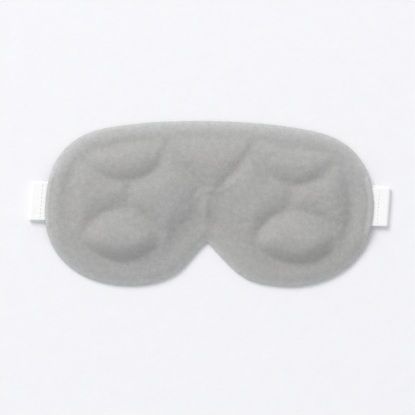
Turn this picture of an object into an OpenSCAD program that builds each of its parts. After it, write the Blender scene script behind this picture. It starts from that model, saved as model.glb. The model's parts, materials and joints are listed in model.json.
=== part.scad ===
// Padded sleep eye mask lying face up: a moulded cover over nine foam pads, a foam core, a blackout
// film and a lining, with two elastic strap halves sewn into the side edges and folded behind it.
// Units are millimetres. +X runs along the mask, +Y towards its upper edge, +Z out of its front.
// The origin is under the middle of the mask, in the plane that it lies on.

/* [Mask] */
// Width of the padded mask, edge to edge
mask_w = 212; // [195:1:225]
// Height of the padded mask, top edge to the bottom of the lobes
mask_h = 107; // [100:1:115]
// Depth of the hollow behind the mask, over the eyes
hollow = 5; // [5:0.5:7]
// Height of the raised cells above the valleys between them
cell_h = 2.4; // [1.6:0.1:3]
// Height of the lower cells, which stand proudest
lower_cell_h = 3.4; // [1.8:0.1:4]
// Height of the flat cell over the bridge of the nose
bridge_cell_h = 1.8; // [1.3:0.1:3]

/* [Layers] */
// Thickness of the brushed front cover
cover_t = 1.2; // [0.8:0.1:1.6]
// Thickness of the soft lining that touches the face
lining_t = 0.8; // [0.6:0.1:1]
// Thickness of the light-blocking film
film_t = 0.25; // [0.15:0.05:0.3]
// Thickness of the foam core at its thick shoulder, near the edge
shoulder_t = 1.8; // [1.2:0.1:3]
// Thickness of the foam core under the pads
core_t = 0.5; // [0.4:0.1:1]

/* [Straps] */
// Width of the elastic
strap_w = 25; // [20:1:30]
// Thickness of the elastic
strap_t = 1.2; // [1:0.1:1.3]
// How far each folded tab stands out past the side edge of the mask
tab_reach = 10; // [8:0.5:14]
// Length of the left strap half, from its fold to its end
left_len = 98; // [80:1:104]
// Length of the right strap half, from its fold to its end
right_len = 182; // [150:1:184]
// Angle at which the strap halves lie behind the mask
strap_angle = 6.5; // [6.5:0.5:8]
// Length of the hook patch on the left strap half
hook_len = 36; // [25:1:45]
// Length of the loop patch on the right strap half
loop_len = 76; // [50:1:90]

/* [Hidden] */

cover_grey = [0.66, 0.66, 0.64];
lining_grey = [0.72, 0.72, 0.70];
foam_white = [0.90, 0.89, 0.85];
film_black = [0.10, 0.10, 0.11];
elastic_white = [0.96, 0.96, 0.96];
thread_white = [0.88, 0.88, 0.88];
hook_white = [0.93, 0.93, 0.93];
loop_white = [0.94, 0.94, 0.93];

ply_gap = 0.3;       // air between two layers that lie on each other
cover_gap = 0.3;     // how much less than its cell a pad rises
seam_w = 3;          // width of the flat edge seam, where only the cover and the lining meet
shoulder_w = 4;      // width over which the core swells from the seam to its shoulder
core_ramp = 10;      // width over which it thins again towards the pads
hollow_start = 4;    // how far inside the edge the back starts to rise
core_edge_t = 0.25;  // thickness of the core at its skived edge
hollow_ramp = 22;    // width over which the back rises into the hollow
side_inset = 10;     // how far the core and the film stop short of the side edges
edge_inset = 5;      // how far they stop short of the upper and lower edges
pad_inset = 2.5;     // how far a pad stops short of the valley round its cell

half_w = mask_w / 2;
outline_scale = [mask_w / 212, mask_h / 107];

// ---- Outline: five Bezier curves down one half, from the top edge to the nose notch ----

top_curves = [
    [[0, 53.5], [25, 53.5], [45, 51.8], [62, 48.9]],
    [[62, 48.9], [86, 45.1], [106, 34], [106, -7]]];
bottom_curves = [
    [[0, -24.5], [5, -29], [10, -35.5], [16, -41.5]],
    [[16, -41.5], [24.5, -49.5], [36, -53.5], [52, -53.5]],
    [[52, -53.5], [78, -53.5], [106, -40], [106, -7]]];

function times(p, s) = [p[0] * s[0], p[1] * s[1]];
function bezier(c, t) = pow(1 - t, 3) * c[0] + 3 * t * pow(1 - t, 2) * c[1]
    + 3 * t * t * (1 - t) * c[2] + pow(t, 3) * c[3];
function curve_points(curves, steps) =
    [for (c = curves) for (i = [0 : steps]) times(bezier(c, i / steps), outline_scale)];

top_points = curve_points(top_curves, 24);
bottom_points = curve_points(bottom_curves, 24);
edge_points = concat(top_points, bottom_points);

function top_y(x) = lookup(min(abs(x), half_w), top_points);
function bottom_y(x) = lookup(min(abs(x), half_w), bottom_points);
function edge_distance(p) = min([for (q = edge_points) norm([abs(p[0]), p[1]] - q)]);

function clamp01(t) = max(0, min(1, t));
function ease(t) = let (c = clamp01(t)) c * c * (3 - 2 * c);

// ---- Raised cells of one half: signed distances inwards from their boundary curves ----

valley = 1.2;        // half the width of the valley between two cells
corner_k = 0.8;      // sharpness of the cells' corners
dome_w = 11;         // distance from a cell's boundary to the flat of its dome
upper_disc = [[54.5, 40.2], 26.3];
lower_disc = [[56, -31], 25.5];
lower_bowl = [[56, -1.8], 34.8];
outer_disc = [[43.4, 1], 46.6];
cell_divider_x = 52;
bridge_half_w = 26;
bridge_top_y = 42.5;

function in_disc(p, d) = d[1] - norm(p - d[0]);
function out_of_disc(p, d) = norm(p - d[0]) - d[1] - 2 * valley;
// Distance to the left of the line that runs from a to b
function left_of(p, a, b) = cross(b - a, p - a) / norm(b - a);
function soft_min(values) = -ln([for (v = values) exp(-corner_k * v)] * [for (v = values) 1]) / corner_k;

function upper_cell(p) = soft_min([in_disc(p, upper_disc), left_of(p, [79, 32.9], [30, 41.2])]);
function lower_cell(p) = soft_min([in_disc(p, lower_disc), in_disc(p, lower_bowl)]);
function outer_cell(p) = soft_min([in_disc(p, outer_disc), out_of_disc(p, upper_disc),
    out_of_disc(p, lower_disc), p[0] - cell_divider_x - valley]);
function inner_cell(p) = soft_min([out_of_disc(p, upper_disc), out_of_disc(p, lower_disc),
    cell_divider_x - valley - p[0], left_of(p, [10.5, 4.5], [24, -21]),
    left_of(p, [27 + valley, 34], [valley, 4.7])]);
function bridge_cell(p) = soft_min([bridge_half_w - abs(p[0]), bridge_top_y - p[1],
    left_of([abs(p[0]), p[1]], [0, 4.7], [26, 34])]);

// Share of the full cell height that a dome has at distance d inside its boundary
function dome(d) = 1 - pow(1 - pow(clamp01(d / dome_w), 1.15), 2);
function unscaled(p) = [abs(p[0]) / outline_scale[0], p[1] / outline_scale[1]];
function cell_rise(p) = let (q = unscaled(p)) max(lower_cell_h * dome(lower_cell(q)),
    bridge_cell_h * dome(bridge_cell(q)), cell_h * dome(max(upper_cell(q), outer_cell(q), inner_cell(q))));

// ---- Heights of the layers above the table ----

strap_gap = 0.3;                    // air between the folded strap and the lining over it
tab_lift = strap_t + strap_gap;     // how far the side seams ride up on the folded straps
root_z = tab_lift + lining_t + ply_gap; // underside of the strap end inside the side seam
root_w = 7.5;                       // how far the strap end reaches into the side seam

// Zones round the tabs: x where an effect starts and is full, then y where it is full and has ended
lift_zone = [68, 86, 19, 34];       // the back is lifted over the folded straps
root_zone = [88, 93, 15, 21];       // the layers part to take the strap ends

function near_tab(p, zone) = ease((abs(p[0]) - zone[0]) / (zone[1] - zone[0]))
    * ease((zone[3] - abs(p[1])) / (zone[3] - zone[2]));
function back_z(p, d) = max(hollow * ease((d - hollow_start) / hollow_ramp),
    tab_lift * near_tab(p, lift_zone));
function core_h(d) = core_edge_t + (shoulder_t - core_edge_t) * ease((d - seam_w) / shoulder_w)
    - (shoulder_t - core_t) * ease((d - seam_w - shoulder_w) / core_ramp);
function stack_h(p, d) = lining_t + ply_gap + max(
    seam_rise * ease((d - 1) / seam_w) + core_h(d) - core_edge_t,
    (strap_t + ply_gap) * near_tab(p, root_zone));
film_z = lining_t + ply_gap;
core_z = film_z + film_t + ply_gap;
seam_rise = film_t + core_edge_t + 2.5 * ply_gap; // step in the cover over the film's and the core's edges

// ---- A curved sheet over the outline, between the heights lower(p, d) and upper(p, d) ----

// How far an inset moves an edge in y, where the edge goes from y to next_y over 1 mm of x
function inset_y(inset, y, next_y) = inset * norm([1, next_y - y]);
function column_y(x, v, inset) = let (a = min(abs(x), half_w - 0.1),
    lo = bottom_y(a) + inset_y(inset, bottom_y(a), bottom_y(a + 1)),
    hi = top_y(a) - inset_y(inset, top_y(a), top_y(a + 1)))
    lo + (hi - lo) * (0.5 * v + 0.25 * (1 - cos(180 * v)));

module sheet(side, edge, nx, ny, lower, upper) {
    half = half_w - side;
    rows = ny + 1;
    cols = 2 * nx + 1;
    plan = [for (i = [-nx : nx]) let (x = half * sin(88 * i / nx) / sin(88))
        for (j = [0 : ny]) [x, column_y(x, j / ny, edge)]];
    depth = [for (p = plan) edge_distance(p)];
    below = [for (k = [0 : len(plan) - 1]) [plan[k][0], plan[k][1], lower(plan[k], depth[k])]];
    above = [for (k = [0 : len(plan) - 1]) [plan[k][0], plan[k][1], upper(plan[k], depth[k])]];
    n = len(plan);
    quads = [for (i = [0 : cols - 2]) for (j = [0 : rows - 2]) let (a = i * rows + j)
        [a, a + 1, a + rows + 1, a + rows]];
    rim = concat([for (i = [0 : cols - 1]) i * rows], [for (j = [1 : rows - 1]) (cols - 1) * rows + j],
        [for (i = [cols - 2 : -1 : 0]) i * rows + rows - 1], [for (j = [rows - 2 : -1 : 1]) j]);
    polyhedron(points = concat(below, above), faces = concat(
        [for (q = quads) [q[0], q[2], q[1]]], [for (q = quads) [q[0], q[3], q[2]]],
        [for (q = quads) [q[0] + n, q[1] + n, q[2] + n]], [for (q = quads) [q[0] + n, q[2] + n, q[3] + n]],
        [for (k = [0 : len(rim) - 1]) let (a = rim[k], b = rim[(k + 1) % len(rim)]) [a, a + n, b + n]],
        [for (k = [0 : len(rim) - 1]) let (a = rim[k], b = rim[(k + 1) % len(rim)]) [a, b + n, b]]));
}

// ---- Layers ----

module back_lining() {
    color(lining_grey) sheet(0, 0, 24, 18,
        function(p, d) back_z(p, d), function(p, d) back_z(p, d) + lining_t);
}

module blackout_film() {
    color(film_black) sheet(side_inset, edge_inset, 20, 14,
        function(p, d) back_z(p, d) + film_z, function(p, d) back_z(p, d) + film_z + film_t);
}

module foam_core() {
    color(foam_white) sheet(side_inset, edge_inset, 22, 16,
        function(p, d) back_z(p, d) + core_z, function(p, d) back_z(p, d) + core_z + core_h(d));
}

function cover_under_z(p, d) = back_z(p, d) + stack_h(p, d) + cell_rise(p);

module front_cover() {
    color(cover_grey) sheet(0, 0, 36, 32,
        function(p, d) cover_under_z(p, d), function(p, d) cover_under_z(p, d) + cover_t);
}

// ---- Pads: one closed dome for each cell, grown outwards from a point inside it ----

pad_rays = 26;
pad_rings = 3;
pad_edge_t = 0.25;
ring_bias = 0.7;     // under 1 draws the rings out towards the pad's edge
reach_max = 45;      // longer than any pad's half length
reach_steps = 12;

// Distance along a ray from c at which the cell's boundary distance falls to the pad's inset
function reach(c, u, cell, lo = 0, hi = reach_max, step = 0) = step == reach_steps ? lo :
    let (mid = (lo + hi) / 2, inside = cell(c + mid * u) > pad_inset)
        reach(c, u, cell, inside ? mid : lo, inside ? hi : mid, step + 1);

module pad(c, cell, rise) {
    rays = [for (i = [0 : pad_rays - 1]) [cos(360 * i / pad_rays), sin(360 * i / pad_rays)]];
    plan = concat([c], [for (r = [1 : pad_rings]) for (u = rays)
        c + pow(r / pad_rings, ring_bias) * reach(c, u, cell) * u]);
    placed = [for (q = plan) times(q, outline_scale)];
    floor_z = [for (p = placed) let (d = edge_distance(p)) back_z(p, d) + core_z + core_h(d) + ply_gap];
    below = [for (k = [0 : len(placed) - 1]) [placed[k][0], placed[k][1], floor_z[k]]];
    above = [for (k = [0 : len(placed) - 1]) [placed[k][0], placed[k][1],
        floor_z[k] + max(pad_edge_t, rise * dome(cell(plan[k])) - cover_gap)]];
    n = len(plan);
    last = 1 + (pad_rings - 1) * pad_rays;
    fan = [for (i = [0 : pad_rays - 1]) [0, 1 + i, 1 + (i + 1) % pad_rays]];
    bands = [for (r = [0 : pad_rings - 2]) for (i = [0 : pad_rays - 1])
        let (a = 1 + r * pad_rays + i, b = 1 + r * pad_rays + (i + 1) % pad_rays)
        [a, a + pad_rays, b + pad_rays, b]];
    polyhedron(points = concat(below, above), faces = concat(
        fan, [for (f = fan) [f[0] + n, f[2] + n, f[1] + n]],
        [for (q = bands) [q[0], q[1], q[2]]], [for (q = bands) [q[0], q[2], q[3]]],
        [for (q = bands) [q[0] + n, q[2] + n, q[1] + n]], [for (q = bands) [q[0] + n, q[3] + n, q[2] + n]],
        [for (i = [0 : pad_rays - 1]) [last + i, last + i + n, last + (i + 1) % pad_rays + n]],
        [for (i = [0 : pad_rays - 1]) [last + i, last + (i + 1) % pad_rays + n, last + (i + 1) % pad_rays]]));
}

module side_pad(left, c, cell, rise = cell_h) {
    color(foam_white) mirror([left ? 1 : 0, 0, 0]) pad(c, cell, rise);
}

module upper_pad(left) side_pad(left, [54, 27], function(p) upper_cell(p));
module outer_pad(left) side_pad(left, [75, 2], function(p) outer_cell(p));
module inner_pad(left) side_pad(left, [30, 4], function(p) inner_cell(p));
module lower_pad(left) side_pad(left, [56, -21], function(p) lower_cell(p), lower_cell_h);
module bridge_pad() color(foam_white) pad([0, 28], function(p) bridge_cell(p), bridge_cell_h);

// ---- Straps: each is drawn for the right side, and turned half a turn for the left ----

fold_mid_r = root_z / 2;             // radius of the folded elastic's middle
fold_out_r = fold_mid_r + strap_t / 2;
fold_in_r = fold_mid_r - strap_t / 2;
fold_z = (root_z + strap_t) / 2;
fold_x = half_w + tab_reach - fold_out_r;
fold_angle = strap_angle / 2;        // the fold bisects the elastic's two runs
end_chamfer = 2;
patch_margin = 2.5;                  // elastic left showing past the end of a patch
patch_w = strap_w - 3;
hook_t = 1.2;
loop_t = 1;
loop_ramp = 5;                       // length over which the elastic rises onto the loop patch
stitch = [2, 0.5, 0.2];
stitch_pitch = 3;
stitch_inset = 1.8;
tab_stitch_count = 8;
tab_stitch_out = 2.6;                // how far the tab stitches lie outside the mask's edge
end_stitch_count = 6;                // stitches across each end of a patch

module on_side(left) rotate([0, 0, left ? 180 : 0]) children();

// x at which the fold line crosses the height y
function fold_line_x(y) = fold_x + y * tan(fold_angle);

module strap_root() {
    h = strap_w / 2;
    color(elastic_white) translate([0, 0, root_z]) linear_extrude(strap_t)
        polygon([[half_w - root_w, -h], [fold_line_x(-h), -h], [fold_line_x(h), h], [half_w - root_w, h]]);
}

module strap_fold() {
    color(elastic_white) translate([fold_x, 0, fold_z]) rotate([0, 0, -fold_angle]) rotate([90, 0, 0])
        difference() {
            cylinder(h = strap_w, r = fold_out_r, center = true, $fn = 48);
            cylinder(h = strap_w + 1, r = fold_in_r, center = true, $fn = 48);
            translate([-fold_out_r - 1, 0, 0]) cube([2 * fold_out_r + 2, 3 * fold_out_r, strap_w + 2],
                center = true);
        }
}

// Places children in the folded run's own frame: +X along it from the fold, at the height z
module along_run(z = 0) translate([fold_x, 0, z]) rotate([0, 0, 180 - strap_angle]) children();

module run_outline(length) {
    h = strap_w / 2;
    lean = h * tan(fold_angle);
    polygon([[lean, -h], [length - end_chamfer, -h], [length, end_chamfer - h],
        [length, h - end_chamfer], [length - end_chamfer, h], [-lean, h]]);
}

module left_strap() {
    color(elastic_white) on_side(true) along_run() linear_extrude(strap_t) run_outline(left_len);
}

// The right strap half lies flat as far as its loop patch, and then on top of the patch
module right_strap() {
    start = right_len - patch_margin - loop_len;
    side = [[-strap_w, 0], [start - loop_ramp - 1, 0], [start - 1, loop_t], [right_len + 1, loop_t],
        [right_len + 1, loop_t + strap_t], [start - 1, loop_t + strap_t],
        [start - loop_ramp - 1, strap_t], [-strap_w, strap_t]];
    color(elastic_white) on_side(false) along_run() intersection() {
        linear_extrude(loop_t + strap_t) run_outline(right_len);
        rotate([90, 0, 0]) linear_extrude(strap_w + 2, center = true) polygon(side);
    }
}

module stitch_row(count, pitch) {
    for (i = [0 : count - 1]) translate([0, (i - (count - 1) / 2) * pitch, stitch[2] / 2])
        cube([stitch[1], stitch[0], stitch[2]], center = true);
}

module tab_stitches() {
    color(thread_white) translate([half_w + tab_stitch_out, 0, root_z + strap_t]) rotate([0, 0, -fold_angle])
        stitch_row(tab_stitch_count, stitch_pitch);
}

// Stitches all round a patch of the given length, in the run's own frame
module patch_stitches(length) {
    side_count = round((length - 2 * stitch_inset) / stitch_pitch) - 1;
    for (x = [stitch_inset, length - stitch_inset]) translate([x, 0, 0])
        stitch_row(end_stitch_count, stitch_pitch);
    for (y = [stitch_inset - patch_w / 2, patch_w / 2 - stitch_inset]) translate([length / 2, y, 0])
        rotate([0, 0, 90]) stitch_row(side_count, stitch_pitch);
}

module hook_patch() {
    color(hook_white) on_side(true) along_run(strap_t)
        translate([left_len - patch_margin - hook_len, -patch_w / 2, 0]) cube([hook_len, patch_w, hook_t]);
}

module hook_patch_stitches() {
    color(thread_white) on_side(true) along_run(strap_t + hook_t)
        translate([left_len - patch_margin - hook_len, 0, 0]) patch_stitches(hook_len);
}

module loop_patch() {
    color(loop_white) on_side(false) along_run()
        translate([right_len - patch_margin - loop_len, -patch_w / 2, 0]) cube([loop_len, patch_w, loop_t]);
}

// The loop patch's stitches show on the far side of the elastic
module loop_patch_stitches() {
    color(thread_white) on_side(false) along_run(loop_t + strap_t)
        translate([right_len - patch_margin - loop_len, 0, 0]) patch_stitches(loop_len);
}

front_cover();
back_lining();
blackout_film();
foam_core();
bridge_pad();
upper_pad(true);  // left_upper_pad
outer_pad(true);  // left_outer_pad
inner_pad(true);  // left_inner_pad
lower_pad(true);  // left_lower_pad
upper_pad(false);  // right_upper_pad
outer_pad(false);  // right_outer_pad
inner_pad(false);  // right_inner_pad
lower_pad(false);  // right_lower_pad
on_side(true) strap_root();  // left_tab
on_side(true) strap_fold();  // left_fold
left_strap();
on_side(true) tab_stitches();  // left_tab_stitches
hook_patch();
hook_patch_stitches();
on_side(false) strap_root();  // right_tab
on_side(false) strap_fold();  // right_fold
right_strap();
on_side(false) tab_stitches();  // right_tab_stitches
loop_patch();
loop_patch_stitches();
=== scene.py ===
"""Looks of a padded sleep eye mask that lies face up with its two strap halves folded behind it.

Shapes are worked out in millimetres, in the CAD model's frame, and new_piece() turns them into metres.
"""

import math

import bpy
import numpy as np
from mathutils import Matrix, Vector
from mathutils.geometry import delaunay_2d_cdt
from mathutils.kdtree import KDTree
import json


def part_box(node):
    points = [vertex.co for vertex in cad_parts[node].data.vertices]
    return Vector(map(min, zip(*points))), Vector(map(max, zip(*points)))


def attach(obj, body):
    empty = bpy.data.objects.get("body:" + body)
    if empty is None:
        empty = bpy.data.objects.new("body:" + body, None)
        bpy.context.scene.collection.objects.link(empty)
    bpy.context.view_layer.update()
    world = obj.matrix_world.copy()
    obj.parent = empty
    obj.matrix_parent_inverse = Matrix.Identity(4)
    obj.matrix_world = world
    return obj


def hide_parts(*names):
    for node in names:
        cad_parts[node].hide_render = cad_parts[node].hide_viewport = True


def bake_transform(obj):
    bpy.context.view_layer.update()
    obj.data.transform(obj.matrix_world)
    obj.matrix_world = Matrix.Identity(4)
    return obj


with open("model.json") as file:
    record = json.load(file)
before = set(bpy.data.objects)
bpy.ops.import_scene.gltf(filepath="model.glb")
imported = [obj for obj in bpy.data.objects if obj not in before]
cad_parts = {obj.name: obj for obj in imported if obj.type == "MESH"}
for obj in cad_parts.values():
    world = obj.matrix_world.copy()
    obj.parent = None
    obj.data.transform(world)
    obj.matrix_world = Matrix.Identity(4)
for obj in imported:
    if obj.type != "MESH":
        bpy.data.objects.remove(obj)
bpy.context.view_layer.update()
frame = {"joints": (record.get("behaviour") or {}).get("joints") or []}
MM = 0.001


# ---------------------------------------------------------------- sizes, from the frame

def box_mm(node):
    """A CAD node's lowest and highest corner, in millimetres."""
    low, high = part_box(node)
    return np.array(low) / MM, np.array(high) / MM


COVER_HIGH = box_mm("front_cover")[1]
HALF_W = COVER_HIGH[0]
HALF_H = COVER_HIGH[1]
SCALE = np.array([HALF_W / 106, HALF_H / 53.5])

STRAP_T = float(np.ptp([c[2] for c in box_mm("left_strap")]))
TAB_LOW, TAB_HIGH = box_mm("right_tab")
ROOT_Z = TAB_LOW[2]
STRAP_W = TAB_HIGH[1] - TAB_LOW[1]
JOINT = {j["child"]: j for j in frame["joints"]}
FOLD_X = JOINT["right_strap"]["pos_m"][0] / MM
FOLD_Z = JOINT["right_strap"]["pos_m"][2] / MM
FOLD_TILT = math.atan2(JOINT["left_strap"]["axis"][0], JOINT["left_strap"]["axis"][1])
FOLD_R = FOLD_Z - STRAP_T / 2

COVER_T = 1.2
LINING_T = 0.8
FILM_T = 0.25
SHOULDER_T = 1.8
CORE_T = 0.5
CORE_EDGE_T = 0.25
PLY_GAP = 0.3
SEAM_GAP = 0.05
SIDE_INSET = 10.0
EDGE_INSET = 5.0
SEAM_W = 3.0
SHOULDER_W = 4.0
CORE_RAMP = 10.0
HOLLOW = 5.0
HOLLOW_START = 4.0
HOLLOW_RAMP = 22.0
DOME_W = 11.0
TAB_LIFT = ROOT_Z - LINING_T - PLY_GAP


# ---------------------------------------------------------------- outline and heights

TOP_CURVES = [
    [[0, 53.5], [25, 53.5], [45, 51.8], [62, 48.9]],
    [[62, 48.9], [86, 45.1], [106, 34], [106, -7]],
]
BOTTOM_CURVES = [
    [[0, -24.5], [5, -29], [10, -35.5], [16, -41.5]],
    [[16, -41.5], [24.5, -49.5], [36, -53.5], [52, -53.5]],
    [[52, -53.5], [78, -53.5], [106, -40], [106, -7]],
]


def bezier(curve, steps):
    """Points along a cubic Bezier curve."""
    c = np.array(curve, float)
    t = np.linspace(0, 1, steps + 1)[:, None]
    return (1 - t) ** 3 * c[0] + 3 * t * (1 - t) ** 2 * c[1] + 3 * t * t * (1 - t) * c[2] + t ** 3 * c[3]


def even_steps(path, step):
    """The path as points about step apart, with both its ends."""
    along = np.concatenate([[0], np.cumsum(np.linalg.norm(np.diff(path, axis=0), axis=1))])
    s = np.linspace(0, along[-1], max(2, round(along[-1] / step)) + 1)
    return np.stack([np.interp(s, along, path[:, k]) for k in (0, 1)], 1)


# How far the nose notch sits to the left of the middle
NOTCH_SHIFT = 1.2
# How far the right side's lower lobe is drawn in and up, where it is most
LOBE_IN = 1.8
LOBE_UP = 1.1
BEZIER_STEPS = 60


def ease(t):
    t = np.clip(t, 0, 1)
    return t * t * (3 - 2 * t)


def drawn_in(right):
    """The right half's outline with its lower lobe a little smaller than the left one's."""
    x, y = right.T
    inwards = LOBE_IN * ease((6 - y) / 26) * ease((x - 40) / 45)
    upwards = LOBE_UP * ease((-18 - y) / 28) * ease((x - 20) / 25)
    return np.column_stack([x - inwards, y + upwards])


def outline(step):
    """The closed outline, anticlockwise from the notch's apex, as points about step apart."""
    lower = [bezier(c, BEZIER_STEPS) for c in BOTTOM_CURVES]
    upper = [bezier(c, BEZIER_STEPS)[::-1] for c in TOP_CURVES[::-1]]
    right = even_steps(np.concatenate(lower + upper) * SCALE, step)
    left = right[1:-1][::-1] * [-1, 1]
    loop = np.concatenate([drawn_in(right), left])
    loop[:, 0] -= NOTCH_SHIFT * ease((22 - np.abs(loop[:, 0])) / 18) * ease((-16 - loop[:, 1]) / 7)
    return loop


FINE_OUTLINE = outline(0.7)


def edge_distance(p):
    """Distance from each point to the outline."""
    a = FINE_OUTLINE
    b = np.roll(a, -1, axis=0) - a
    best = np.full(len(p), 1e9)
    for start, side in zip(a, b):
        t = np.clip((p - start) @ side / (side @ side), 0, 1)
        best = np.minimum(best, np.linalg.norm(p - start - t[:, None] * side, axis=1))
    return best


def waves(p, size, seed):
    """Smooth unevenness from -1 to 1, with bumps about size apart. The same seed gives the same bumps."""
    total = 0
    for k in range(5):
        angle = seed * 1.7 + k * 2.4
        pitch = size * (0.8 + 0.17 * k)
        across = p[:, 0] * math.cos(angle) + p[:, 1] * math.sin(angle)
        total = total + np.sin(2 * math.pi * across / pitch + seed * 2.1 + k * k)
    return total / 3.2


# Zones round the tabs: x where an effect starts and is full, then y where it is full and has ended
LIFT_ZONE = (68, 86, 19, 34)
ROOT_ZONE = (88, 93, 15, 21)


def near_tab(p, zone):
    """1 inside a zone round the tabs, easing to 0 at its ends."""
    x_in, x_full, y_full, y_out = zone
    x, y = np.abs(p).T
    return ease((x - x_in) / (x_full - x_in)) * ease((y_out - y) / (y_out - y_full))


def back_z(p, d):
    """Height of the lining's lower face, at points p that lie d inside the edge."""
    return np.maximum(HOLLOW * ease((d - HOLLOW_START) / HOLLOW_RAMP), TAB_LIFT * near_tab(p, LIFT_ZONE))


def core_h(d):
    """Thickness of the foam core: thin at the seam, thick at the shoulder and thin again under the pads."""
    swell = (SHOULDER_T - CORE_EDGE_T) * ease((d - SEAM_W) / SHOULDER_W)
    return CORE_EDGE_T + swell - (SHOULDER_T - CORE_T) * ease((d - SEAM_W - SHOULDER_W) / CORE_RAMP)


FILM_Z = LINING_T + PLY_GAP
CORE_Z = FILM_Z + FILM_T + PLY_GAP
SEAM_RISE = FILM_T + CORE_EDGE_T + 2.5 * PLY_GAP


# ---------------------------------------------------------------- the raised cells

VALLEY = 1.2
CORNER_K = 0.8
UPPER_DISC = ([54.5, 40.2], 26.3)
LOWER_DISC = ([56, -31], 25.5)
LOWER_BOWL = ([56, -1.8], 34.8)
OUTER_DISC = ([43.4, 1], 46.6)
UPPER_EDGE = ([79, 32.9], [30, 41.2])
DIVIDER_X = 52
BRIDGE_HALF_W = 26
BRIDGE_TOP_Y = 42.5


def in_disc(p, disc):
    return disc[1] - np.linalg.norm(p - disc[0], axis=1)


def out_of_disc(p, disc):
    return -in_disc(p, disc) - 2 * VALLEY


def left_of(p, a, b):
    """Distance to the left of the line that runs from a to b."""
    side = np.subtract(b, a)
    away = p - np.array(a)
    return (side[0] * away[:, 1] - side[1] * away[:, 0]) / np.linalg.norm(side)


def soft_min(*values):
    """The smallest value, with the corners between values rounded."""
    return -np.log(sum(np.exp(-CORNER_K * v) for v in values)) / CORNER_K


def upper_cell(p):
    return soft_min(in_disc(p, UPPER_DISC), left_of(p, *UPPER_EDGE))


def lower_cell(p):
    return soft_min(in_disc(p, LOWER_DISC), in_disc(p, LOWER_BOWL))


def outer_cell(p):
    return soft_min(in_disc(p, OUTER_DISC), out_of_disc(p, UPPER_DISC), out_of_disc(p, LOWER_DISC),
                    p[:, 0] - DIVIDER_X - VALLEY)


def inner_cell(p):
    return soft_min(out_of_disc(p, UPPER_DISC), out_of_disc(p, LOWER_DISC), DIVIDER_X - VALLEY - p[:, 0],
                    left_of(p, [10.5, 4.5], [24, -21]), left_of(p, [27 + VALLEY, 34], [VALLEY, 4.7]))


def bridge_cell(p):
    q = np.stack([np.abs(p[:, 0]), p[:, 1]], 1)
    return soft_min(BRIDGE_HALF_W - q[:, 0], BRIDGE_TOP_Y - q[:, 1], left_of(q, [0, 4.7], [26, 34]))


# Each cell's function, the middle of its pad, the pad's height, and the height that the cover rises over it
CELLS = {"upper": (upper_cell, [54, 27], 2.4, 3.2), "outer": (outer_cell, [75, 2], 2.4, 2.4),
         "inner": (inner_cell, [30, 4], 2.4, 3.2), "lower": (lower_cell, [56, -21], 3.4, 5.3),
         "bridge": (bridge_cell, [0, 28], 1.8, 2.5)}


def dome(d):
    """Share of a cell's full height at distance d inside its boundary."""
    return 1 - (1 - np.clip(d / DOME_W, 0, 1) ** 1.15) ** 2


def mirrored(p):
    """The points moved to the right half, in the sizes that the cells are drawn in."""
    return np.stack([np.abs(p[:, 0]), p[:, 1]], 1) / SCALE


def cell_depth(p):
    """Distance inside the nearest cell's boundary, and below 0 in the valleys and on the plateau."""
    return np.max([cell[0](mirrored(p)) for cell in CELLS.values()], axis=0)


def cell_swell(p):
    """How far the cells lift the cover. A lower cell stands proudest just above its lower edge."""
    q = mirrored(p)
    tilt = {"lower": 0.62 + 0.5 * ease((-8 - q[:, 1]) / 20)}
    return np.max([cell[3] * tilt.get(kind, 1) * dome(cell[0](q)) for kind, cell in CELLS.items()], axis=0)


def unfold(p):
    """The plan moved a little, so that the two sides of the mask don't mirror each other exactly."""
    return p + 0.9 * np.stack([waves(p, 46, 1), waves(p, 52, 2)], 1)


GROOVE_D = 3.3
GROOVE_DEPTH = 0.18
PLATEAU_RISE = 0.5
EDGE_FULLNESS = 0.9
# Depths of the lines that stay sharp: under a lower cell, above an upper one and beside an outer one
LINE_BELOW = 0.6
LINE_ABOVE = 0.55
LINE_BESIDE = 0.3
# Raised creases over the nose, as (height, half width, points along the crease)
NOSE_CREASES = [
    (0.85, 2.1, [(-17.8, -10.3), (-13.8, -2.6), (-10.6, 3.0), (-6.2, 6.4),
                 (0, 7.7), (8, 8.8), (13.2, 11.6), (18.4, 17.4)]),
    (1.1, 2.3, [(-2.4, 3), (-2, -20)])]
# Small dips on either side of them, as (depth, half width, place)
NOSE_DIPS = [(0.7, 3.4, (-9.4, -5.2)), (0.7, 3.4, (5.2, -2.8))]


def bump(x, width):
    return np.exp(-(x / width) ** 2)


def line_distance(p, points):
    """Distance from each point to the broken line through the given points."""
    best = np.full(len(p), 1e9)
    for a, b in zip(points, points[1:]):
        side = np.subtract(b, a)
        t = np.clip((p - np.array(a)) @ side / (side @ side), 0, 1)
        best = np.minimum(best, np.linalg.norm(p - np.array(a) - t[:, None] * side, axis=1))
    return best


def nose_creases(p):
    raised = sum(high * bump(line_distance(p, points), wide) for high, wide, points in NOSE_CREASES)
    sunk = sum(deep * bump(np.linalg.norm(p - place, axis=1), wide) for deep, wide, place in NOSE_DIPS)
    return raised - sunk


def crisp(p):
    """1 along the lines that stay sharp: under a lower cell, above an upper one and beside an outer one."""
    q = mirrored(p)
    x, y = q.T
    below = bump(in_disc(q, LOWER_BOWL) + 0.4, 2.2) * ease((-24 - y) / 6) * ease((26 - np.abs(x - 56)) / 6)
    above = bump(left_of(q, *UPPER_EDGE), 2.0) * ease((x - 33) / 5) * ease((82 - x) / 6)
    beside = bump(in_disc(q, OUTER_DISC), 2.0) * ease((20 - np.abs(y)) / 6) * ease((x - 80) / 4)
    return below, above, beside


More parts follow.
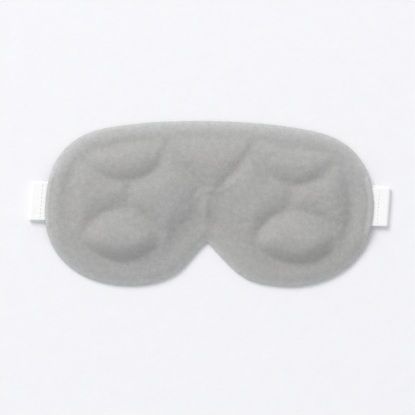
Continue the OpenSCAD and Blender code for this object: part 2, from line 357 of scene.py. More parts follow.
def cover_z(p, d):
    """Height of the cover's outer face."""
    stack = np.maximum(SEAM_RISE * ease((d - 1) / SEAM_W) + core_h(d) - CORE_EDGE_T,
                       (STRAP_T + PLY_GAP) * near_tab(p, ROOT_ZONE))
    z = back_z(p, d) + LINING_T + PLY_GAP + stack + COVER_T
    z += PLATEAU_RISE * ease((d - GROOVE_D) / 5) - GROOVE_DEPTH * bump(d - GROOVE_D, 0.9)
    q = unfold(p)
    below, above, beside = crisp(q)
    z += cell_swell(q) - LINE_BELOW * below - LINE_ABOVE * above - LINE_BESIDE * beside
    z += nose_creases(p)
    z += EDGE_FULLNESS * ease(d / 2.2) * (1 - ease((d - 3) / 5))
    z += 0.08 * waves(p, 17, 5) * ease((d - 4) / 6) + 0.18 * waves(p, 37, 8) * ease((d - 4) / 10)
    return z


def softened(z, faces, hold, rounds):
    """Heights averaged with their neighbours', as cloth under tension does, less where hold is near 1."""
    sides = np.concatenate([[(f[0], f[1]), (f[1], f[2]), (f[2], f[0])] for f in faces])
    a, b = np.unique(np.sort(sides, axis=1), axis=0).T
    count = np.bincount(np.concatenate([a, b]), minlength=len(z))
    for _ in range(rounds):
        total = np.bincount(a, z[b], len(z)) + np.bincount(b, z[a], len(z))
        z = z + 0.6 * (1 - hold) * (total / count - z)
    return z


# ---------------------------------------------------------------- meshes

def new_piece(name, points, faces, material, smooth=True):
    mesh = bpy.data.meshes.new(name)
    mesh.from_pydata([tuple(v * MM for v in p) for p in points], [], [tuple(f) for f in faces])
    mesh.validate()
    mesh.polygons.foreach_set("use_smooth", [smooth] * len(mesh.polygons))
    piece = bpy.data.objects.new(name, mesh)
    bpy.context.scene.collection.objects.link(piece)
    if material:
        mesh.materials.append(material)
    return piece


def ring(base, inset):
    """The outline points moved inwards by inset."""
    tangent = np.roll(base, -1, axis=0) - np.roll(base, 1, axis=0)
    inward = np.stack([-tangent[:, 1], tangent[:, 0]], 1) / np.linalg.norm(tangent, axis=1)[:, None]
    return base + inward * inset


def cut_ring(base, inset, half_w):
    """The outline points moved inwards by inset, and cut off straight at half_w to either side."""
    moved = ring(base, inset)
    return np.column_stack([np.clip(moved[:, 0], -half_w, half_w), moved[:, 1]])


def filled_plan(step, insets, half_w):
    """Points, triangles and rim of a mesh that fills the outline: rings at the insets, then an even grid."""
    base = outline(step)
    rings = [cut_ring(base, inset, half_w) for inset in insets]
    row = step * math.sqrt(3) / 2
    ys = np.arange(-HALF_H, HALF_H, row)
    xs = np.arange(-HALF_W, HALF_W, step)
    grid = np.array([[x + (k % 2) * step / 2, y] for k, y in enumerate(ys) for x in xs])
    grid = grid[inside_loop(grid, base)]
    grid = grid[edge_distance(grid) > insets[-1] + 0.8 * step]
    grid = grid[np.abs(grid[:, 0]) < half_w - 0.8 * step]
    points = np.concatenate(rings + [grid])
    n = len(base)
    loop = [(i, (i + 1) % n) for i in range(n)]
    out = delaunay_2d_cdt([Vector(p) for p in points], loop, [], 1, 1e-7)
    coords = np.array([v[:] for v in out[0]])
    where = {src: k for k, sources in enumerate(out[3]) for src in sources}
    rim = [where[i] for i in range(n)]
    return coords, [tuple(f) for f in out[2]], rim


def inside_loop(p, loop):
    """True for the points inside a closed loop, by the crossing rule."""
    a, b = loop, np.roll(loop, -1, axis=0)
    inside = np.zeros(len(p), bool)
    for (x0, y0), (x1, y1) in zip(a, b):
        if y0 == y1:
            continue
        crosses = (y0 > p[:, 1]) != (y1 > p[:, 1])
        inside ^= crosses & (p[:, 0] < (x1 - x0) * (p[:, 1] - y0) / (y1 - y0) + x0)
    return inside


def closed_sheet(name, step, insets, bottom, top, material, bulge=0.45, settle=None, half_w=HALF_W):
    """A closed sheet over the outline between two height functions, with a rounded edge."""
    plan, triangles, rim = filled_plan(step, insets, half_w)
    n = len(plan)
    depth = edge_distance(plan)
    low, high = bottom(plan, depth), top(plan, depth)
    if settle:
        moved = settle(plan, triangles, depth, high) - high
        low, high = low + moved, high + moved
    points = [np.column_stack([plan, high]), np.column_stack([plan, low])]
    faces = list(triangles) + [tuple(n + i for i in f[::-1]) for f in triangles]
    outward = plan[rim] - ring(plan[rim], 1)
    loops = [rim]
    for share in (0.15, 0.5, 0.85):
        reach = bulge * math.sin(math.pi * (0.5 - abs(share - 0.5)))
        z = high[rim] * (1 - share) + low[rim] * share
        loops.append([sum(map(len, points)) + i for i in range(len(rim))])
        points.append(np.column_stack([plan[rim] + outward * reach, z]))
    loops.append([n + i for i in rim])
    for upper, lower in zip(loops, loops[1:]):
        for i in range(len(rim)):
            j = (i + 1) % len(rim)
            faces.append((upper[j], upper[i], lower[i], lower[j]))
    piece = new_piece(name, np.concatenate(points), faces, material)
    # Share of the cover's painted highlight: its colour is lightened towards the edge, standing in for the
    # sheen of the nap there
    fade = 0.45 * bump(depth, 8) + 0.55 * bump(depth, 2.6)
    near_edge = np.concatenate([fade, fade, np.ones(3 * len(rim))])
    piece.data.attributes.new("near_edge", "FLOAT", "POINT").data.foreach_set("value", near_edge)
    return piece


def inner_sheet(name, step, bottom, top, material):
    """A closed sheet like the one above, but stopping short of the outline, with a plain cut edge."""
    return closed_sheet(name, step, [EDGE_INSET], bottom, top, material, bulge=0.0,
                        half_w=HALF_W - SIDE_INSET)


PAD_RAYS = 72
PAD_RINGS = 14
PAD_INSET = 2.5


def pad_piece(name, left, cell, centre, height, material):
    """A foam pad under one raised cell: rays out from its centre to the cell's boundary."""
    angle = np.linspace(0, 2 * math.pi, PAD_RAYS, endpoint=False)
    rays = np.stack([np.cos(angle), np.sin(angle)], 1)
    low, high = np.zeros(PAD_RAYS), np.full(PAD_RAYS, 45.0)
    for _ in range(14):
        middle = (low + high) / 2
        inside = cell(centre + middle[:, None] * rays) > PAD_INSET
        low, high = np.where(inside, middle, low), np.where(inside, high, middle)
    shares = (np.arange(1, PAD_RINGS + 1) / PAD_RINGS) ** 0.8
    plan = np.concatenate([[centre]] + [centre + share * low[:, None] * rays for share in shares])
    rise = np.maximum(0.25, height * dome(cell(plan)) - 0.3)
    plan = plan * SCALE * [-1 if left else 1, 1]
    depth = edge_distance(plan)
    floor = back_z(plan, depth) + CORE_Z + core_h(depth) + PLY_GAP
    n = len(plan)
    points = np.concatenate([np.column_stack([plan, floor]), np.column_stack([plan, floor + rise])])
    faces = []
    for i in range(PAD_RAYS):
        j = (i + 1) % PAD_RAYS
        faces += [(0, 1 + j, 1 + i), (n, n + 1 + i, n + 1 + j)]
        for r in range(PAD_RINGS - 1):
            a, b = 1 + r * PAD_RAYS + i, 1 + r * PAD_RAYS + j
            faces += [(a, b, b + PAD_RAYS, a + PAD_RAYS), (n + b, n + a, n + a + PAD_RAYS, n + b + PAD_RAYS)]
        last = 1 + (PAD_RINGS - 1) * PAD_RAYS
        faces.append((last + i, last + j, n + last + j, n + last + i))
    if left:
        faces = [f[::-1] for f in faces]
    return new_piece(name, points, faces, material)


# ---------------------------------------------------------------- cloth

CLOTH_STEP = 2.4
CLOTH_INSETS = [0.5, 3.0]
CLOTH_FRAMES = 20
CLOTH_MASS = 0.002
CLOTH_PRESSURE = 400.0
CLOTH_SLACK = 0.01
CLOTH_CAP = 1.0


def nearest(points, places, count):
    """For each place, which of the points are nearest, and how far away they are."""
    tree = KDTree(len(points))
    for i, p in enumerate(points):
        tree.insert((*p, 0), i)
    tree.balance()
    found = [tree.find_n((*p, 0), count) for p in places]
    return np.array([[f[1] for f in row] for row in found]), np.array([[f[2] for f in row] for row in found])


def simulated_heights(points, triangles, held):
    """Heights of a sheet after it has swollen under pressure, held where held is near 1."""
    cloth = new_piece("cloth_trial", points, triangles, None)
    group = cloth.vertex_groups.new(name="held")
    held = held.round(2)
    for share in np.unique(held):
        group.add([int(i) for i in np.flatnonzero(held == share)], float(share), "REPLACE")
    modifier = cloth.modifiers.new("cloth", "CLOTH")
    modifier.settings.vertex_group_mass = "held"
    modifier.settings.quality = 6
    modifier.settings.mass = CLOTH_MASS
    modifier.settings.use_pressure = True
    modifier.settings.uniform_pressure_force = CLOTH_PRESSURE
    modifier.settings.shrink_min = -CLOTH_SLACK
    modifier.settings.effector_weights.gravity = 0
    modifier.collision_settings.use_collision = False
    modifier.collision_settings.use_self_collision = False
    modifier.point_cache.frame_end = CLOTH_FRAMES
    for number in range(1, CLOTH_FRAMES + 1):
        bpy.context.scene.frame_set(number)
    result = cloth.evaluated_get(bpy.context.evaluated_depsgraph_get()).to_mesh()
    flat = np.empty(3 * len(points))
    result.vertices.foreach_get("co", flat)
    bpy.context.scene.frame_set(1)
    mesh = cloth.data
    bpy.data.objects.remove(cloth)
    bpy.data.meshes.remove(mesh)
    return flat[2::3] / MM


def cloth_swell(plan, high):
    """How far each point of the cover rises when it swells like cloth, held at its rim and in its valleys."""
    coarse, triangles, _ = filled_plan(CLOTH_STEP, CLOTH_INSETS, HALF_W)
    start = high[nearest(plan, coarse, 1)[0][:, 0]]
    at_rim = 1 - ease((edge_distance(coarse) - 3) / 3)
    in_valley = 1 - ease((cell_depth(unfold(coarse)) + 2) / 5)
    held = np.maximum(at_rim, in_valley)
    rise = simulated_heights(np.column_stack([coarse, start]), triangles, held) - start
    rise = np.clip(rise, -CLOTH_CAP, CLOTH_CAP)
    near, away = nearest(coarse, plan, 6)
    weight = 1 / (away ** 2 + 0.5)
    return (rise[near] * weight).sum(1) / weight.sum(1)


# ---------------------------------------------------------------- straps

RUN_ANGLE = 2 * FOLD_TILT
FOLD_ARC = math.pi * FOLD_R
AXIS = np.array([math.sin(FOLD_TILT), math.cos(FOLD_TILT)])
ACROSS = np.array([math.cos(FOLD_TILT), -math.sin(FOLD_TILT)])
RUN_DIR = np.array([-math.cos(RUN_ANGLE), math.sin(RUN_ANGLE)])
RUN_SIDE = np.array([-math.sin(RUN_ANGLE), -math.cos(RUN_ANGLE)])
LOOP_T = float(box_mm("loop_patch")[1][2])
HOOK_T = float(np.ptp([c[2] for c in box_mm("hook_patch")]))
PATCH_W = STRAP_W - 3
PATCH_MARGIN = 2.5
LEFT_LEN = 98.0
RIGHT_LEN = 182.0
HOOK_LEN = 36.0
LOOP_LEN = 76.0
END_CHAMFER = 2.0
LOOP_RAMP = 5.0
HOOK_GROUND_T = 0.45
LOOP_GROUND_T = 0.4


def turned(points, left):
    """Points drawn for the right side, turned half a turn about +Z for the left."""
    return points * [-1, -1, 1] if left else points


def run_point(x, y, z, left):
    """A point in the folded run's own frame: x along it from the fold, y across it and z up."""
    plan = np.array([FOLD_X, 0]) + np.multiply.outer(x, RUN_DIR) + np.multiply.outer(y, RUN_SIDE)
    return turned(np.column_stack([plan, np.broadcast_to(z, len(plan))]), left)


def strap_lift(run, left):
    """How far the run stands off the table: the right one lies on its loop patch towards its end."""
    if left:
        return 0 * run
    start = RIGHT_LEN - PATCH_MARGIN - LOOP_LEN - 1
    return LOOP_T * ease((run - start + LOOP_RAMP) / LOOP_RAMP)


def web_section():
    """The elastic's cross-section, as (across, height) points anticlockwise: fine ribs and round edges."""
    half = STRAP_W / 2
    v = np.linspace(-half, half, 61)
    from_edge = half - np.abs(v)
    full = STRAP_T / 2 * np.sqrt(1 - (1 - np.clip(from_edge / 0.7, 0, 1)) ** 2)
    ribs = 0.05 * np.cos(2 * math.pi * v / 1.25) * np.clip(from_edge / 2, 0, 1)
    h = full - 0.05 + ribs
    lower = np.column_stack([v, -h])
    upper = np.column_stack([v[::-1], h[::-1]])
    return np.concatenate([lower, upper[1:-1]])


def strap_piece(name, left, length, material):
    """One whole strap half: its sewn-in end, its fold and its free run."""
    section = web_section()
    v, h = section[:, 0], section[:, 1]
    start = TAB_LOW[0] - FOLD_X
    end = length + FOLD_ARC * math.cos(FOLD_TILT)
    fold_half = STRAP_W / 2 * math.tan(FOLD_TILT)
    stops = np.concatenate([
        np.arange(start, -fold_half - 0.5, 1.0),
        np.arange(-fold_half - 0.5, FOLD_ARC + fold_half + 0.5, 0.25),
        np.arange(FOLD_ARC + fold_half + 0.5, end - 3, 1.2), np.linspace(end - 3, end, 6)])
    corner = np.clip(np.abs(v) - (STRAP_W / 2 - END_CHAMFER), 0, END_CHAMFER)
    rings = []
    uv = []
    for stop in stops:
        s = stop - corner * ease((stop - end + 4) / 4)
        u = s * math.cos(FOLD_TILT) - v * math.sin(FOLD_TILT)
        w = s * math.sin(FOLD_TILT) + v * math.cos(FOLD_TILT)
        phi = np.clip(u / FOLD_R, 0, math.pi)
        radius = FOLD_R + h
        straight = np.where(u < 0, u, np.where(u > FOLD_ARC, FOLD_ARC - u, 0))
        plan = np.array([FOLD_X, 0]) + w[:, None] * AXIS + (straight + radius * np.sin(phi))[:, None] * ACROSS
        z = FOLD_Z + radius * np.cos(phi) + strap_lift(u - FOLD_ARC, left) * (u > FOLD_ARC)
        rings.append(turned(np.column_stack([plan, z]), left))
        uv.append(np.column_stack([s, v]))
    m = len(section)
    faces = []
    for r in range(len(stops) - 1):
        for i in range(m):
            j = (i + 1) % m
            faces.append((r * m + i, (r + 1) * m + i, (r + 1) * m + j, r * m + j))
    faces.append(tuple(range(m)))
    faces.append(tuple((len(stops) - 1) * m + i for i in range(m - 1, -1, -1)))
    piece = new_piece(name, np.concatenate(rings), faces, material)
    add_uv(piece, np.concatenate(uv))
    return piece


def add_uv(piece, per_vertex):
    """A UV map in millimetres, for materials that follow a strip."""
    layer = piece.data.uv_layers.new(name="strip")
    corners = np.empty(len(piece.data.loops), int)
    piece.data.loops.foreach_get("vertex_index", corners)
    layer.data.foreach_set("uv", per_vertex[corners].ravel())


def blend_strap(piece):
    """Bakes the strap half's transform into its mesh.
    """
    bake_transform(piece)


def tubes(name, paths, radius, sides, material):
    """One mesh of thin round tubes, each along a path of points, closed at both ends."""
    points = []
    faces = []
    angle = np.linspace(0, 2 * math.pi, sides, endpoint=False)
    for path in paths:
        path = np.array(path, float)
        along = np.gradient(path, axis=0)
        along /= np.linalg.norm(along, axis=1)[:, None]
        helper = np.array([0.31, 0.74, 0.6])
        one = np.cross(along, helper)
        one /= np.linalg.norm(one, axis=1)[:, None]
        two = np.cross(along, one)
        first = len(points)
        for centre, a, b in zip(path, one, two):
            points.extend(centre + radius * (math.cos(t) * a + math.sin(t) * b) for t in angle)
        for r in range(len(path) - 1):
            for i in range(sides):
                j = (i + 1) % sides
                a, b = first + r * sides, first + (r + 1) * sides
                faces.append((a + i, a + j, b + j, b + i))
        faces.append(tuple(first + i for i in range(sides - 1, -1, -1)))
        faces.append(tuple(first + (len(path) - 1) * sides + i for i in range(sides)))
    return new_piece(name, points, faces, material)


def stitch_path(a, b, up):
    """One stitch from a to b: it comes out of the cloth, lies on it and goes back in."""
    a, b, up = (np.array(p, float) for p in (a, b, up))
    shares = [0, 0.12, 0.32, 0.68, 0.88, 1]
    heights = [-0.25, 0.05, 0.16, 0.16, 0.05, -0.25]
    return [a + (b - a) * s + up * h for s, h in zip(shares, heights)]


def stitch_line(a, b, pitch, up=(0, 0, 1), share=0.78):
    """The stitches of a straight seam from a to b."""
    a, b = np.array(a, float), np.array(b, float)
    count = max(1, round(np.linalg.norm(b - a) / pitch))
    step = (b - a) / count
    gap = (1 - share) / 2
    return [stitch_path(a + step * (i + gap), a + step * (i + 1 - gap), up) for i in range(count)]


TAB_SEAM_X = 2.6
TAB_SEAM_INSET = 1.2
PATCH_SEAM_INSET = 1.8


def tab_stitches(name, left, material):
    """The seam across a tab, just outside the mask's edge."""
    half = STRAP_W / 2 - TAB_SEAM_INSET
    x = HALF_W + TAB_SEAM_X
    z = ROOT_Z + STRAP_T
    ends = np.array([[x + y * math.tan(FOLD_TILT), y, z] for y in (-half, half)])
    ends = turned(ends, left)
    return tubes(name, stitch_line(ends[0], ends[1], 2.6, share=0.6), 0.2, 8, material)


def patch_stitches(name, left, start, length, z, material):
    """A seam all round a patch, a little inside its edge."""
    inset = PATCH_SEAM_INSET
    x0, x1, y1 = start + inset, start + length - inset, PATCH_W / 2 - inset
    corners = run_point(np.array([x0, x1, x1, x0]), np.array([-y1, -y1, y1, y1]), z, left)
    paths = []
    for a, b in zip(corners, np.roll(corners, -1, axis=0)):
        paths += stitch_line(a, b, 2.4)
    return tubes(name, paths, 0.18, 6, material)


def tape(name, left, start, length, z, thickness, material):
    """The woven ground of a patch, a plate with small round corners and edges."""
    corner = 1.0
    quarter = np.linspace(0, math.pi / 2, 6)
    loop = []
    for k, (cx, cy) in enumerate([(length - corner, PATCH_W / 2 - corner), (corner, PATCH_W / 2 - corner),
                                  (corner, corner - PATCH_W / 2), (length - corner, corner - PATCH_W / 2)]):
        for t in quarter + k * math.pi / 2:
            loop.append([start + cx + corner * math.cos(t), cy + corner * math.sin(t)])
    loop = np.array(loop)
    centre = loop.mean(0)
    edge = min(0.15, thickness / 3)
    rings = [(1, edge, 0), (1, 0, edge), (1, 0, thickness - edge), (1, edge, thickness)]
    points = []
    for _, inset, height in rings:
        shrunk = centre + (loop - centre) * (1 - inset / (np.abs(loop - centre).max(0)))
        points.append(run_point(shrunk[:, 0], shrunk[:, 1], z + height, left))
    n = len(loop)
    faces = [tuple(range(n)), tuple(3 * n + i for i in range(n - 1, -1, -1))]
    for r in range(3):
        for i in range(n):
            j = (i + 1) % n
            faces.append((r * n + i, (r + 1) * n + i, (r + 1) * n + j, r * n + j))
    return new_piece(name, np.concatenate(points), faces, material, smooth=False)


def scatter(length, pitch, margin):
    """Places on a patch in staggered rows, with a little unevenness that is the same each time."""
    xs = np.arange(margin, length - margin, pitch)
    ys = np.arange(margin - PATCH_W / 2, PATCH_W / 2 - margin, pitch)
    grid = np.array([[x + (k % 2) * pitch / 2, y] for k, y in enumerate(ys) for x in xs])
    wobble = np.stack([waves(grid * 7.3, 3, 4), waves(grid * 6.1, 3, 9)], 1)
    return grid + 0.18 * pitch * wobble, waves(grid * 5.7, 4, 6)


def hooks(name, left, start, z, material):
    """The stiff little hooks of the hook patch."""
    places, turn = scatter(HOOK_LEN, 1.35, 3.0)
    high = HOOK_T - HOOK_GROUND_T
    shape = np.array([[0, 0], [0.02, 0.55], [0.16, 0.92], [0.38, 0.95], [0.5, 0.68]])
    paths = []
    for (x, y), wobble in zip(places, turn):
        lean = 0.25 * wobble
        x_run = start + x + shape[:, 0] * 0.9
        y_run = y + lean * shape[:, 0]
        paths.append([run_point(np.array([a]), np.array([b]), z + c * high, left)[0]
                      for a, b, c in zip(x_run, y_run, shape[:, 1])])
    return tubes(name, paths, 0.09, 5, material)


def loops(name, left, start, z, drop, material):
    """The soft pile of the loop patch: small rings of thread that stand out of its ground, downwards."""
    places, turn = scatter(LOOP_LEN, 1.15, 2.6)
    paths = []
    bend = np.linspace(0, math.pi, 6)
    for (x, y), wobble in zip(places, turn):
        angle = 2.2 * wobble
        half = 0.42 + 0.1 * wobble
        x_run = start + x + half * np.cos(bend) * math.cos(angle)
        y_run = y + half * np.cos(bend) * math.sin(angle)
        depth = drop * (0.85 + 0.15 * wobble) * np.sin(bend)
        paths.append([run_point(np.array([a]), np.array([b]), z - c, left)[0]
                      for a, b, c in zip(x_run, y_run, depth)])
    return tubes(name, paths, 0.07, 4, material)


# ---------------------------------------------------------------- materials

class Nodes:
    """A short way to build a material's node tree."""

    def __init__(self, name, **constants):
        self.material = bpy.data.materials.new(name)
        self.material.use_nodes = True
        self.tree = self.material.node_tree
        self.shader = self.tree.nodes["Principled BSDF"]
        for socket, value in constants.items():
            self.shader.inputs[socket.replace("_", " ")].default_value = value

    def node(self, kind, inputs=None, **settings):
        made = self.tree.nodes.new("ShaderNode" + kind)
        for key, value in settings.items():
            setattr(made, key, value)
        for socket, value in (inputs or {}).items():
            if isinstance(value, bpy.types.NodeSocket):
                self.tree.links.new(value, made.inputs[socket])
            else:
                made.inputs[socket].default_value = value
        return made

    def place(self):
        """The point in the object's own frame, in millimetres."""
        scaled = self.node("VectorMath", {0: self.node("TexCoord").outputs["Object"], "Scale": 1 / MM},
                           operation="SCALE")
        return scaled.outputs[0]

    def strip(self):
        """Millimetres along and across a strap."""
        return self.node("UVMap", uv_map="strip").outputs[0]

    def noise(self, where, size, detail=3.0, rough=0.55):
        """Noise from 0 to 1 with features about size millimetres apart."""
        inputs = {"Vector": where, "Scale": 1 / size, "Detail": detail, "Roughness": rough}
        return self.node("TexNoise", inputs).outputs["Fac"]

    def ramp(self, value, stops):
        made = self.node("ValToRGB", {"Fac": value})
        first, last = made.color_ramp.elements
        first.position, first.color = stops[0][0], (*stops[0][1], 1)
        last.position, last.color = stops[-1][0], (*stops[-1][1], 1)
        for position, colour in stops[1:-1]:
            made.color_ramp.elements.new(position).color = (*colour, 1)
        return made.outputs["Color"]

    def mix(self, share, a, b, how="MIX"):
        made = self.node("Mix", data_type="RGBA", blend_type=how)
        for socket, value in zip((0, 6, 7), (share, a, b)):
            if isinstance(value, bpy.types.NodeSocket):
                self.tree.links.new(value, made.inputs[socket])
            else:
                made.inputs[socket].default_value = (*value, 1) if isinstance(value, tuple) else value
        return made.outputs[2]

    def math(self, how, a, b=0.0):
        return self.node("Math", {0: a, 1: b}, operation=how).outputs[0]

    def bump(self, height, depth, below=None):
        """Depth is in millimetres."""
        inputs = {"Height": height, "Distance": depth * MM, "Strength": 1.0}
        if below is not None:
            inputs["Normal"] = below
        return self.node("Bump", inputs).outputs[0]

    def finish(self, colour=None, roughness=None, normal=None):
        for socket, value in (("Base Color", colour), ("Roughness", roughness), ("Normal", normal)):
            if value is not None:
                self.tree.links.new(value, self.shader.inputs[socket])
        return self.material


def brushed_fabric(name, dark, light, warm, cool):
    """A grey knit brushed to a short nap: mottled, with a warm and a cool cast in places, and a painted
    highlight that lightens it towards its edge.
    """
    n = Nodes(name, Sheen_Weight=0.35, Sheen_Roughness=0.5, Specular_IOR_Level=0.15)
    where = n.place()
    clumps = n.noise(where, 3.2, 4.0, 0.6)
    nap = n.noise(where, 0.55, 2.0, 0.7)
    colour = n.ramp(clumps, [(0.3, dark), (0.7, light)])
    cast = n.ramp(n.noise(where, 34, 1.5, 0.5), [(0.36, cool), (0.5, (1, 1, 1)), (0.64, warm)])
    colour = n.mix(1.0, colour, cast, "MULTIPLY")
    speckle = n.ramp(nap, [(0.25, (0.8, 0.8, 0.8)), (0.75, (1.16, 1.16, 1.16))])
    colour = n.mix(1.0, colour, speckle, "MULTIPLY")
    # Painted highlight: towards the edge the colour is lightened, standing in for the sheen of the nap along
    # the rim
    painted_edge_highlight = n.node("Attribute", attribute_name="near_edge").outputs["Fac"]
    colour = n.mix(painted_edge_highlight, colour, n.mix(1.0, colour, (1.36, 1.37, 1.39), "MULTIPLY"))
    rough = n.ramp(nap, [(0.3, (0.86,) * 3), (0.7, (1.0,) * 3)])
    normal = n.bump(clumps, 0.25)
    normal = n.bump(nap, 0.16, normal)
    return n.finish(colour, rough, normal)


def knit_lining(name, dark, light):
    """A smooth fine knit: courses of tiny stitches."""
    n = Nodes(name, Sheen_Weight=0.1, Specular_IOR_Level=0.25)
    where = n.place()
    courses = n.node("TexWave", {"Vector": where, "Scale": 1 / 3.2, "Distortion": 0.6, "Detail": 1.0},
                     bands_direction="Y").outputs["Fac"]
    wales = n.node("TexWave", {"Vector": where, "Scale": 1 / 2.6, "Distortion": 0.4, "Detail": 1.0},
                   bands_direction="X").outputs["Fac"]
    weave = n.math("MULTIPLY", courses, wales)
    patches = n.noise(where, 9, 3.0)
    colour = n.mix(n.math("MULTIPLY", patches, 0.8), dark, light)
    colour = n.mix(n.math("MULTIPLY", weave, 0.3), colour, light)
    rough = n.ramp(weave, [(0.0, (0.78,) * 3), (1.0, (0.92,) * 3)])
    return n.finish(colour, rough, n.bump(weave, 0.12, n.bump(patches, 0.3)))


def woven_elastic(name, white, shade):
    """White elastic: rows of fine woven ribs along the strip."""
    n = Nodes(name, Sheen_Weight=0.05, Specular_IOR_Level=0.3)
    where = n.strip()
    weave = n.node("TexBrick", {"Vector": where, "Scale": 1.0, "Mortar Size": 0.08, "Mortar Smooth": 1.0,
                                "Brick Width": 1.1, "Row Height": 0.42, "Color1": (1, 1, 1, 1),
                                "Color2": (0.94, 0.94, 0.94, 1), "Mortar": (0, 0, 0, 1)}).outputs["Color"]
    fibres = n.noise(where, 0.5, 2.0, 0.7)
    colour = n.mix(weave, shade, white)
    stain = n.ramp(n.noise(where, 16, 2.0), [(0.3, (0.992, 0.992, 0.99)), (0.7, (1, 1, 1))])
    colour = n.mix(1.0, colour, stain, "MULTIPLY")
    rough = n.ramp(fibres, [(0.3, (0.6,) * 3), (0.7, (0.8,) * 3)])
    return n.finish(colour, rough, n.bump(weave, 0.04, n.bump(fibres, 0.03)))


def grained(name, dark, light, size, depth, rough, **constants):
    """A plain stuff with a grain: foam, film, thread, tape."""
    n = Nodes(name, **constants)
    where = n.place()
    grain = n.noise(where, size, 3.0, 0.65)
    colour = n.ramp(grain, [(0.3, dark), (0.7, light)])
    stops = [(0.3, (rough - 0.08,) * 3), (0.7, (rough + 0.08,) * 3)]
    roughness = n.ramp(n.noise(where, size * 4, 2.0), stops)
    return n.finish(colour, roughness, n.bump(grain, depth))


def foam_stuff(name, dark, light):
    """Open-cell foam: small round pores, with painted shade in them."""
    n = Nodes(name, Specular_IOR_Level=0.2)
    where = n.place()
    pores = n.node("TexVoronoi", {"Vector": where, "Scale": 1.1}, feature="F1").outputs["Distance"]
    tone = n.noise(where, 14, 2.0)
    # Painted shade: the pores take the dark colour, as shade inside them
    colour = n.mix(pores, dark, n.mix(tone, light, dark))
    rough = n.ramp(tone, [(0.3, (0.85,) * 3), (0.7, (0.97,) * 3)])
    return n.finish(colour, rough, n.bump(pores, 0.3))


COVER_CLOTH = brushed_fabric("cover_cloth", (0.375, 0.375, 0.370), (0.435, 0.433, 0.425),
                             (1.01, 1.0, 0.993), (0.994, 0.999, 1.0))
LINING_CLOTH = knit_lining("lining_cloth", (0.38, 0.38, 0.375), (0.47, 0.465, 0.455))
ELASTIC = woven_elastic("white_elastic", (0.995, 0.995, 0.995), (0.98, 0.98, 0.985))
FILM = grained("black_film", (0.012, 0.012, 0.013), (0.028, 0.028, 0.03), 2.0, 0.03, 0.5)
THREAD = grained("white_thread", (0.86, 0.86, 0.86), (0.95, 0.95, 0.96), 0.25, 0.04, 0.6)
HOOK_TAPE = grained("hook_tape_ground", (0.70, 0.70, 0.71), (0.82, 0.82, 0.83), 0.6, 0.08, 0.55)
HOOK_NYLON = grained("hook_nylon", (0.80, 0.80, 0.81), (0.88, 0.88, 0.89), 0.8, 0.01, 0.35)
LOOP_TAPE = grained("loop_tape_ground", (0.66, 0.66, 0.66), (0.80, 0.80, 0.80), 0.5, 0.10, 0.8)
LOOP_PILE = grained("loop_pile", (0.74, 0.74, 0.74), (0.88, 0.88, 0.88), 0.4, 0.05, 0.75)
FOAM = foam_stuff("white_foam", (0.62, 0.60, 0.54), (0.86, 0.85, 0.80))


# ---------------------------------------------------------------- the mask

def on_body(piece, body, slot, *nodes):
    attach(piece, body)
    if nodes:
        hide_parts(*nodes)
    return piece


def lining_top_z(p, d):
    return back_z(p, d) + LINING_T


def cover_under_z(p, d):
    """The cover's inner face: it meets the lining all round the edge, except where the strap goes in."""
    under = cover_z(p, d) - COVER_T
    beside_strap = ease((np.abs(p[:, 1]) - STRAP_W / 2 - 0.8) / 1.5)
    off_side = ease((HALF_W - 14 - np.abs(p[:, 0])) / 4)
    seam = (1 - ease((d - 1.5) / 3)) * np.maximum(beside_strap, off_side)
    return under + seam * (lining_top_z(p, d) + SEAM_GAP - under)


def settle_cover(plan, triangles, depth, high):
    """The cover's face, softened by its own tension and then swollen by a cloth simulation."""
    hold = np.maximum(1 - ease((depth - 4.5) / 4), 0.75 * sum(crisp(unfold(plan))))
    hold = np.maximum(hold, 0.9 * sum(bump(line_distance(plan, c[2]), 3) for c in NOSE_CREASES))
    high = softened(high, triangles, np.clip(hold, 0, 1), 8)
    return high + cloth_swell(plan, high)


COVER_INSETS = [0.45, 1.2, 2.1, 2.8, GROOVE_D, 3.8, 4.6]
cover = closed_sheet("cover", 1.1, COVER_INSETS, cover_under_z, cover_z, COVER_CLOTH, settle=settle_cover)
on_body(cover, "mask", "cover_fabric", "front_cover")

lining = closed_sheet("lining", 2.2, [0.3, 1.6, 3.0, 4.6], back_z, lining_top_z, LINING_CLOTH, bulge=0.3)
on_body(lining, "mask", "lining_fabric", "back_lining")

film = inner_sheet("blackout_film_sheet", 3.0, lambda p, d: back_z(p, d) + FILM_Z,
                   lambda p, d: back_z(p, d) + FILM_Z + FILM_T, FILM)
on_body(film, "mask", "blackout_film", "blackout_film")

core = inner_sheet("foam_core_sheet", 2.2, lambda p, d: back_z(p, d) + CORE_Z,
                   lambda p, d: back_z(p, d) + CORE_Z + core_h(d), FOAM)
on_body(core, "mask", "foam", "foam_core")

for kind, (cell, centre, height, _) in CELLS.items():
    for side in ("",) if kind == "bridge" else ("left_", "right_"):
        pad = pad_piece(f"{side}{kind}_foam", side == "left_", cell, np.array(centre), height, FOAM)
        on_body(pad, "mask", "foam", f"{side}{kind}_pad")


# ---------------------------------------------------------------- the strap

for side, length in (("left", LEFT_LEN), ("right", RIGHT_LEN)):
    is_left = side == "left"
    strap = strap_piece(f"{side}_elastic", is_left, length, ELASTIC)
    blend_strap(strap)
    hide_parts(f"{side}_tab", f"{side}_fold", f"{side}_strap")
    seam = tab_stitches(f"{side}_tab_seam", is_left, THREAD)
    on_body(seam, "mask", "thread", f"{side}_tab_stitches")

hook_start = LEFT_LEN - PATCH_MARGIN - HOOK_LEN
ground = tape("hook_ground", True, hook_start, HOOK_LEN, STRAP_T, HOOK_GROUND_T, HOOK_TAPE)
on_body(ground, "left_strap", "hook_tape", "hook_patch")
on_body(hooks("hook_field", True, hook_start, STRAP_T + 0.4, HOOK_NYLON), "left_strap", "hook_tape")
seam = patch_stitches("hook_seam", True, hook_start, HOOK_LEN, STRAP_T + HOOK_GROUND_T, THREAD)
on_body(seam, "left_strap", "thread", "hook_patch_stitches")

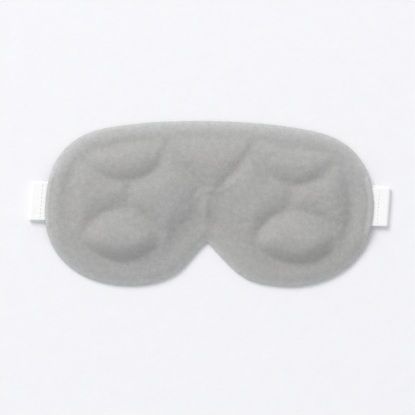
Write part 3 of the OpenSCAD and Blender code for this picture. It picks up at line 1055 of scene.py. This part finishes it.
loop_start = RIGHT_LEN - PATCH_MARGIN - LOOP_LEN
ground = tape("loop_ground", False, loop_start, LOOP_LEN, LOOP_T - LOOP_GROUND_T, LOOP_GROUND_T, LOOP_TAPE)
on_body(ground, "right_strap", "loop_tape", "loop_patch")
pile = loops("loop_field", False, loop_start, LOOP_T - 0.35, LOOP_T - 0.42, LOOP_PILE)
on_body(pile, "right_strap", "loop_tape")
seam = patch_stitches("loop_seam", False, loop_start, LOOP_LEN, LOOP_T + STRAP_T, THREAD)
on_body(seam, "right_strap", "thread", "loop_patch_stitches")


# ---------------------------------------------------------------- floor, lights and camera

def floor():
    half = 3.0
    mesh = bpy.data.meshes.new("floor")
    corners = [(-half, -half, 0), (half, -half, 0), (half, half, 0), (-half, half, 0)]
    mesh.from_pydata(corners, [], [(0, 1, 2, 3)])
    piece = bpy.data.objects.new("floor", mesh)
    bpy.context.scene.collection.objects.link(piece)
    piece.location.z = -0.0001
    n = Nodes("pale_floor", Specular_IOR_Level=0.1)
    where = n.place()
    tone = n.ramp(n.noise(where, 11, 4.0), [(0.3, (0.90, 0.90, 0.925)), (0.7, (0.915, 0.915, 0.94))])
    mesh.materials.append(n.finish(tone, None, n.bump(n.noise(where, 4, 3.0), 0.15)))
    n.shader.inputs["Roughness"].default_value = 0.9


def softbox(name, place, size, power, colour):
    data = bpy.data.lights.new(name, "AREA")
    data.shape = "DISK"
    data.size = size
    data.energy = power
    data.color = colour
    light = bpy.data.objects.new(name, data)
    bpy.context.scene.collection.objects.link(light)
    light.location = place
    light.rotation_euler = (-Vector(place)).to_track_quat("-Z", "Y").to_euler()


def surroundings(strength, colour):
    world = bpy.data.worlds.new("studio")
    world.use_nodes = True
    background = world.node_tree.nodes["Background"]
    background.inputs["Color"].default_value = (*colour, 1)
    background.inputs["Strength"].default_value = strength
    bpy.context.scene.world = world


def camera():
    """Straight above the mask, with a long lens and a slight turn."""
    data = bpy.data.cameras.new("camera")
    eye = bpy.data.objects.new("camera", data)
    bpy.context.scene.collection.objects.link(eye)
    height, across = 1.6, 0.268  # above the table, and the width that the picture takes in
    data.lens = data.sensor_width * height / across
    eye.location = (-0.0013, -0.0023, height)
    eye.rotation_euler = (0, 0, math.radians(1.0))
    data.clip_start = 0.01
    bpy.context.scene.camera = eye


bpy.context.scene.view_settings.view_transform = "Standard"
floor()
softbox("key", (-2.2, 3.2, 3.6), 3.2, 160.0, (1.0, 0.992, 0.98))
surroundings(0.66, (0.98, 0.988, 1.0))
camera()


# ---------------------------------------------------------------- an empty last step: it writes nothing

def write_sizes():
    import json


write_sizes()
